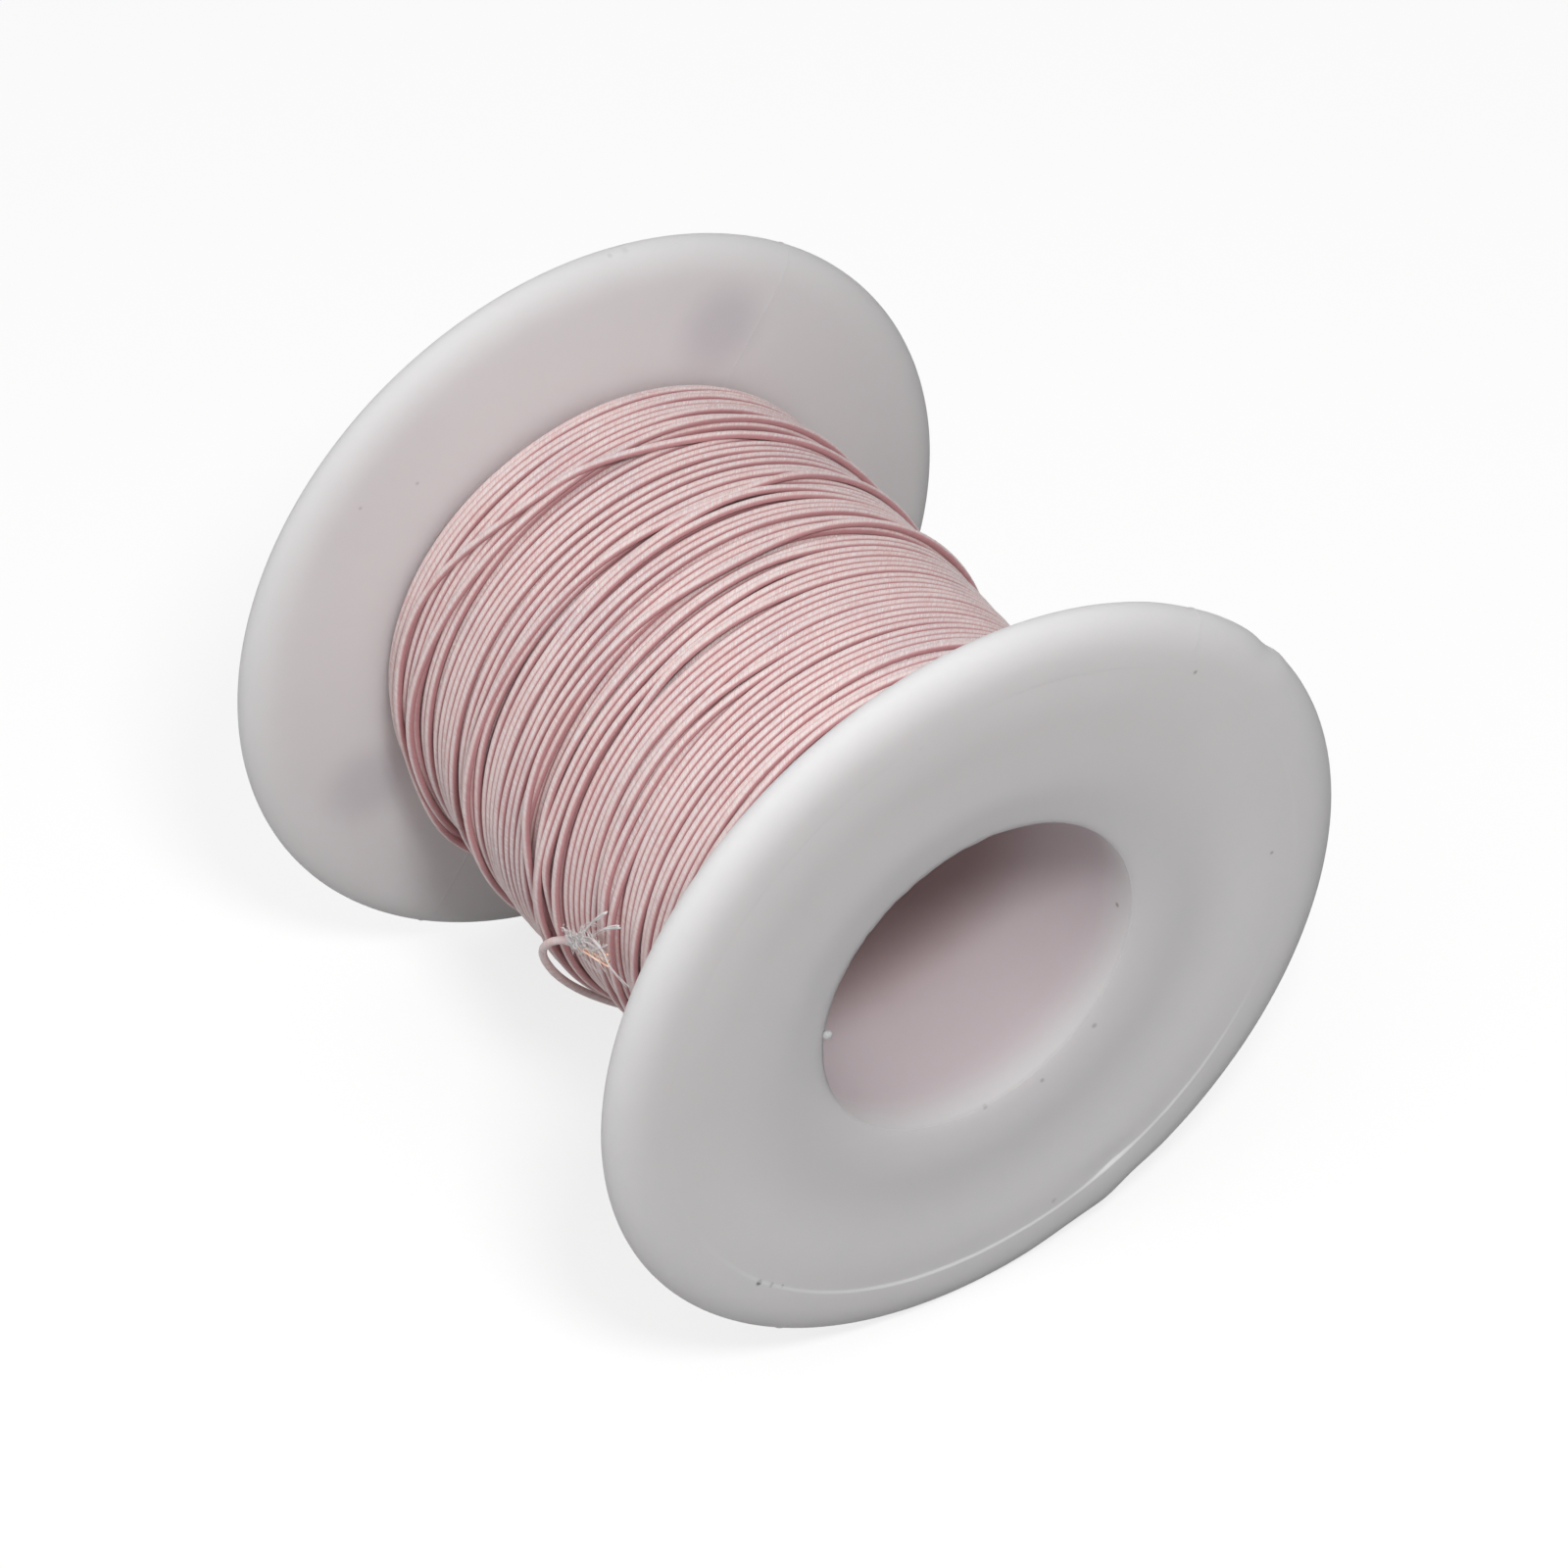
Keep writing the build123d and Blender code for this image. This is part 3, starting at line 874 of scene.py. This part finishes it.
def smooth_route(name, route):
    """Points along the NURBS spline that has the route as its control points, in metres."""
    curve = bpy.data.curves.new(name, "CURVE")
    curve.dimensions = "3D"
    spline = curve.splines.new("NURBS")
    spline.points.add(len(route) - 1)
    for point, place in zip(spline.points, route):
        point.co = (*place, 1)
    spline.order_u = 3
    spline.use_endpoint_u = True
    spline.resolution_u = 24
    holder = bpy.data.objects.new(name, curve)
    bpy.context.scene.collection.objects.link(holder)
    mesh = bpy.data.meshes.new_from_object(holder.evaluated_get(bpy.context.evaluated_depsgraph_get()))
    points = np.array([vertex.co for vertex in mesh.vertices], float)
    bpy.data.objects.remove(holder)
    bpy.data.meshes.remove(mesh)
    return points


def about_axis(points):
    """Points in the frame's metres, in millimetres about the bore's axis."""
    return np.asarray(points) / MM - (0, 0, AXIS_HEIGHT)


def thread(end, waypoints, waver, seed, steps=22):
    """A filament over the winding, through (ahead, round, out) places measured from the wire's end."""
    chance = random.Random(seed)
    knots = np.array(waypoints, float)
    spots = np.linspace(0, len(knots) - 1, steps + 1)
    local = [blur(np.interp(spots, range(len(knots)), knots[:, k]), 1.6) for k in range(3)]
    share = np.linspace(0, 1, steps + 1)
    for k in range(3):
        phase, rate = chance.uniform(0, 6.3), chance.uniform(3, 9)
        local[k] = local[k] + waver * WAVER_SHARES[k] * share * np.sin(phase + rate * share)
    ahead, around, out = local
    radius = math.hypot(end[0], end[2]) + out
    angle = math.atan2(end[2], end[0]) - around / math.hypot(end[0], end[2])
    return np.stack([radius * np.cos(angle), end[1] - ahead, radius * np.sin(angle)], -1)


def joined(name, tubes):
    """Several tubes made one piece."""
    with bpy.context.temp_override(active_object=tubes[0], selected_editable_objects=tubes):
        bpy.ops.object.join()
    tubes[0].name = name
    return tubes[0]


def make_copper(end):
    """The bare strands that stand out of the wire's end."""
    copper_tubes = []
    for k, (rise, reach, place) in enumerate(COPPER_STRANDS):
        out = 0.06 + 0.05 * (k % 2)
        middle = (reach * 0.5, place + rise * 0.5, out)
        waypoints = [(-0.4, place, out), middle, (reach, place + rise, out + 0.1)]
        line = thread(end, waypoints, 0.03, k, 12)
        copper_tubes.append(tube(f"copper{k}", line, STRAND_RADIUS, 8, COPPER))
    copper = joined("bare_strands", copper_tubes)
    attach(copper, "root")
    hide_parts("copper_strands")
    return copper


def make_fray(end):
    """The silk that has come loose at the wire's end."""
    chance = random.Random(5)
    fray_tubes = []
    for k, (thickness, waver, *waypoints) in enumerate(LONG_FILAMENTS):
        for copy in range(COPIES):
            spread = [tuple(c + chance.uniform(-0.1, 0.1) for c in place) for place in waypoints]
            line = thread(end, [(-0.2, 0.0, 0.05), *spread], waver, 40 * copy + k)
            swell = smooth_step(0.7, 0.8, np.linspace(0, 1, len(line)))
            tip = 1 + 1.6 * swell * (k < THICK_TIPPED)
            radii = thickness * chance.uniform(0.6, 1) * tip
            fray_tubes.append(tube(f"fray{k}_{copy}", line, radii, 5, FLOSS))
    # Fluff: short curled filaments, thick at the wire's end and thinner towards the front.
    for k in range(FLUFF_COUNT):
        far = 4.0 * chance.random() ** 2
        rise = 0.42 * far + chance.uniform(-0.05, 0.3) + 0.35 * far * chance.random()
        start = (far - 0.7, rise, chance.uniform(0.0, 0.3))
        length, turn = chance.uniform(0.3, 0.9), chance.uniform(-0.6, 2.2)
        stop = (start[0] + length * math.cos(turn), start[1] + length * math.sin(turn), start[2] + 0.1)
        line = thread(end, [start, stop], 0.3, 200 + k, 12)
        fray_tubes.append(tube(f"fluff{k}", line, 0.02, 5, FLOSS))
    fray = joined("silk_fray", fray_tubes)
    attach(fray, "root")
    return fray


def make_loose_end():
    """The free stretch of wire, its frayed silk and its bare copper strands."""
    path = smooth_route("loose_route", LOOSE_ROUTE)
    wire = tube("loose_wire", about_axis(path), WIRE_RADIUS, 12, SILK)
    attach(wire, "root")
    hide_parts("loose_end")

    end = about_axis(path)[-1]
    copper = make_copper(end)
    fray = make_fray(end)


# ---------------------------------------------------------------- stage

# The camera, as degrees and millimetres
CAMERA_AZIMUTH = -33.13
CAMERA_ELEVATION = 41.38
CAMERA_DISTANCE = 292.4
CAMERA_RIGHT = 0.340
CAMERA_UP = -0.551
CAMERA_LENS = 112.88

FLOOR_HALF_SIZE = 3.0  # metres
FLOOR_DROP = 0.00002  # metres, so that the rims and the floor don't share a plane

# The lamp, in metres and watts, and the way to it from the upper edge of the bore
LAMP_WAY = (-0.23, -0.53, 0.82)
LAMP_DISTANCE = 0.22
LAMP_SIZE = 0.048
LAMP_ENERGY = 0.238


def make_camera():
    """The photograph's viewpoint: above and to the left of the front flange, with a long lens."""
    azimuth, elevation = math.radians(CAMERA_AZIMUTH), math.radians(CAMERA_ELEVATION)
    level = math.cos(elevation)
    back = Vector((math.sin(azimuth) * level, -math.cos(azimuth) * level, math.sin(elevation)))
    right = Vector((math.cos(azimuth), math.sin(azimuth), 0))
    up = back.cross(right)
    camera = bpy.data.objects.new("camera", bpy.data.cameras.new("camera"))
    bpy.context.scene.collection.objects.link(camera)
    place = Vector((0, 0, AXIS_HEIGHT)) + back * CAMERA_DISTANCE + right * CAMERA_RIGHT + up * CAMERA_UP
    camera.location = place * MM
    camera.rotation_mode = "QUATERNION"
    camera.rotation_quaternion = (-back).to_track_quat("-Z", "Y")
    camera.data.sensor_width = 36
    camera.data.lens = CAMERA_LENS
    camera.data.clip_start = 0.01
    bpy.context.scene.camera = camera


def make_floor():
    """A pale floor that reads as the white background and keeps a soft shadow."""
    n = Nodes(bpy.data.materials.new("floor"))
    n.shader.inputs["Base Color"].default_value = grey(0.33)
    n.shader.inputs["Roughness"].default_value = 1.0
    n.shader.inputs["Specular IOR Level"].default_value = 0.0
    glow = n.add("ShaderNodeEmission", Strength=0.74)
    shade = n.add("ShaderNodeBsdfDiffuse", Color=grey(0.36))
    seen = n.add("ShaderNodeAddShader", in0=glow.outputs[0], in1=shade.outputs[0])
    plain = n.shader.outputs[0]
    choice = n.add("ShaderNodeMixShader", in0=n.seen_directly(), in1=plain, in2=seen.outputs[0])
    n.tree.links.new(choice.outputs[0], n.tree.nodes["Material Output"].inputs["Surface"])
    size = FLOOR_HALF_SIZE
    corners = [(-size, -size, 0), (size, -size, 0), (size, size, 0), (-size, size, 0)]
    mesh = bpy.data.meshes.new("floor")
    mesh.from_pydata(corners, [], [(0, 1, 2, 3)])
    mesh.materials.append(n.material)
    floor = bpy.data.objects.new("floor", mesh)
    floor.location.z = cad_box[0].z - FLOOR_DROP
    bpy.context.scene.collection.objects.link(floor)


def make_lamp():
    """One soft box above, in front and a little to the left."""
    toward = Vector(LAMP_WAY).normalized()
    bore_edge = Vector((0, -BORE_END * MM, (AXIS_HEIGHT + BORE_RADIUS) * MM))
    lamp = bpy.data.lights.new("soft_box", "AREA")
    lamp.shape = "DISK"
    lamp.size = LAMP_SIZE
    lamp.energy = LAMP_ENERGY
    holder = bpy.data.objects.new("soft_box", lamp)
    holder.location = bore_edge + toward * LAMP_DISTANCE
    holder.rotation_mode = "QUATERNION"
    holder.rotation_quaternion = toward.to_track_quat("Z", "Y")
    bpy.context.scene.collection.objects.link(holder)


def make_world():
    """A dome that is brighter above and to the left, and dimmer in front. It is seen as plain white."""
    world = bpy.data.worlds.new("world")
    bpy.context.scene.world = world
    n = Nodes(world)
    n.tree.nodes.clear()
    place = n.add("ShaderNodeTexCoord").outputs["Generated"]
    parts = n.add("ShaderNodeSeparateXYZ", Vector=place).outputs
    rise = n.add("ShaderNodeMapRange", in0=parts["Z"], in1=-0.1, in2=0.9, in3=0.34, in4=0.60)
    left = n.maths("MULTIPLY_ADD", parts["X"], -0.29, rise.outputs[0])
    in_front = n.maths("MINIMUM", parts["Y"], 0.0)
    strength = n.maths("MULTIPLY_ADD", in_front, 0.27, left, clamp=True)
    dome = n.add("ShaderNodeBackground", Color=(1, 1, 1, 1), Strength=strength)
    white = n.add("ShaderNodeBackground", Color=(1, 1, 1, 1))
    choice = n.add("ShaderNodeMixShader", in0=n.seen_directly(), in1=dome.outputs[0], in2=white.outputs[0])
    n.add("ShaderNodeOutputWorld", in0=choice.outputs[0])


make_camera()
make_loose_end()
make_moulding()
make_winding()
make_floor()
make_lamp()
make_world()
bpy.context.scene.view_settings.view_transform = "Standard"
